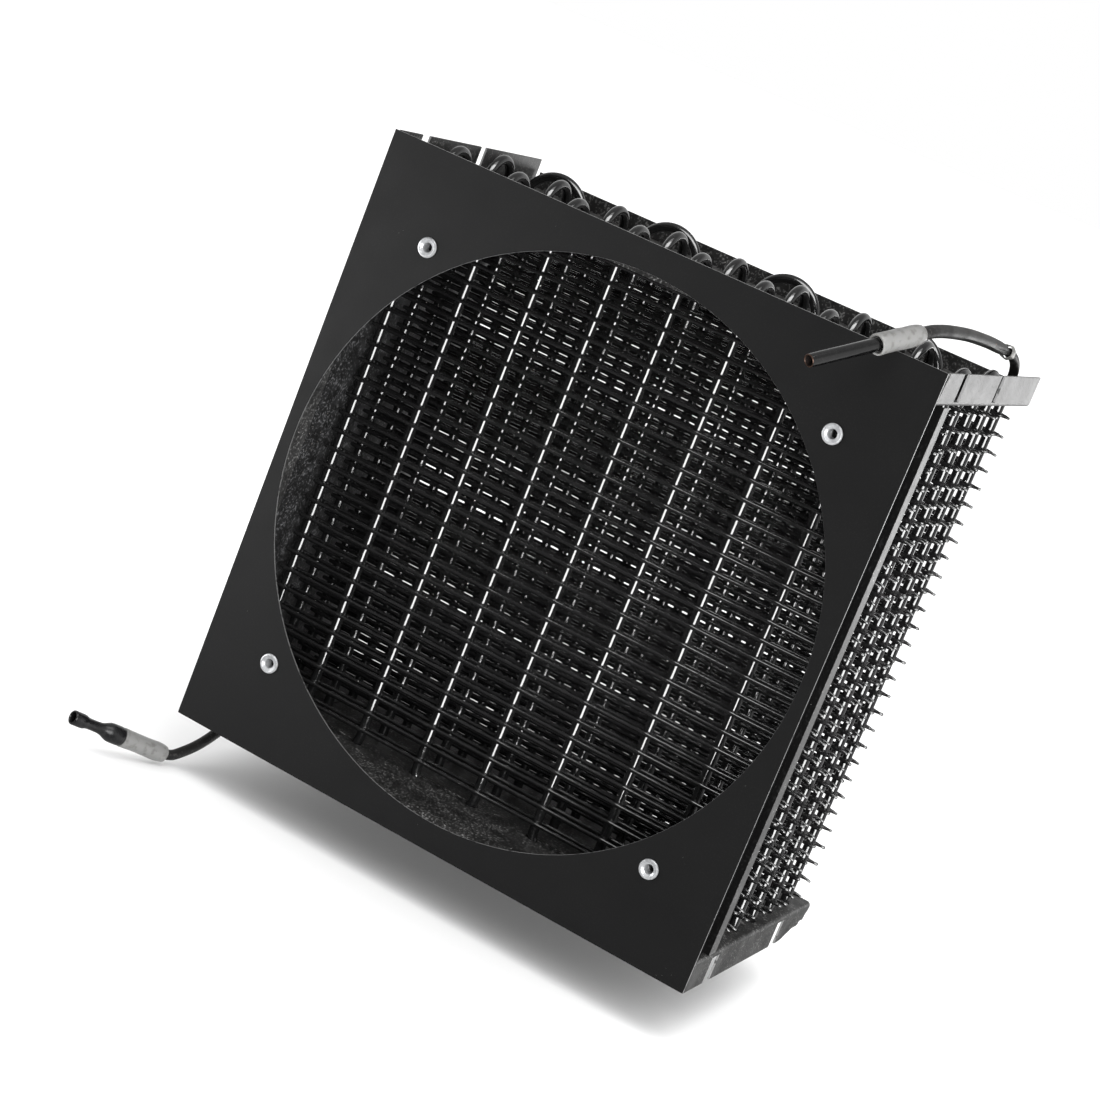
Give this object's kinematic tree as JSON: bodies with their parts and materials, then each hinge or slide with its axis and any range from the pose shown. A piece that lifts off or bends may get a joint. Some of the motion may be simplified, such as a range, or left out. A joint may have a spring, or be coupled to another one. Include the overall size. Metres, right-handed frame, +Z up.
{
  "type": "condenser coil",
  "caption": "Fan-cooled wire-on-tube condenser coil: folded serpentine tube with cross wires, sheet-metal shroud with round fan opening, and two connection pipes.",
  "frame": {"origin": "centre of the fan opening on the front face of the shroud plate", "axes": "+X to the right seen from the fan side, +Y from the fan side back through the coil, +Z up"},
  "size_m": [0.3081, 0.2074, 0.3364],
  "materials": {
    "shroud_paint": "satin black paint on flat sheet",
    "frame_paint": "semi-gloss black paint, dusty",
    "panel_paint": "matt black, dusty",
    "zinc": "bright zinc plating",
    "coil_paint": "gloss black enamel",
    "pipe_paint": "brushed-on black paint, worn at the mouth",
    "solder": "silver solder, dull",
    "sleeve_plastic": "translucent grey plastic",
    "nozzle_rubber": "black, slightly shiny"
  },
  "bodies": {
    "root": {"shroud_plate": "shroud_paint", "rivet_nuts": "zinc", "side_rail_left": "frame_paint", "side_rail_right": "frame_paint", "side_panel_left": "panel_paint", "top_channel": "frame_paint", "bottom_channel": "frame_paint", "tube_run_1": "coil_paint", "tube_run_2": "coil_paint", "tube_run_3": "coil_paint", "tube_run_4": "coil_paint", "tube_run_5": "coil_paint", "tube_run_6": "coil_paint", "tube_run_7": "coil_paint", "tube_run_8": "coil_paint", "tube_run_9": "coil_paint", "return_bends_top": "coil_paint", "return_bends_bottom": "coil_paint", "wires_layer_1_front": "coil_paint", "wires_layer_1_rear": "coil_paint", "wires_layer_2_front": "coil_paint", "wires_layer_2_rear": "coil_paint", "wires_layer_3_front": "coil_paint", "wires_layer_3_rear": "coil_paint", "wires_layer_4_front": "coil_paint", "wires_layer_4_rear": "coil_paint", "wires_layer_5_front": "coil_paint", "wires_layer_5_rear": "coil_paint", "inlet_riser": "pipe_paint", "inlet_braze_ring": "solder", "inlet_pipe": "pipe_paint", "inlet_stub": "pipe_paint", "inlet_sleeve": "sleeve_plastic", "outlet_pipe": "pipe_paint", "outlet_sleeve": "sleeve_plastic", "outlet_nozzle": "nozzle_rubber"}
  },
  "joints": []
}
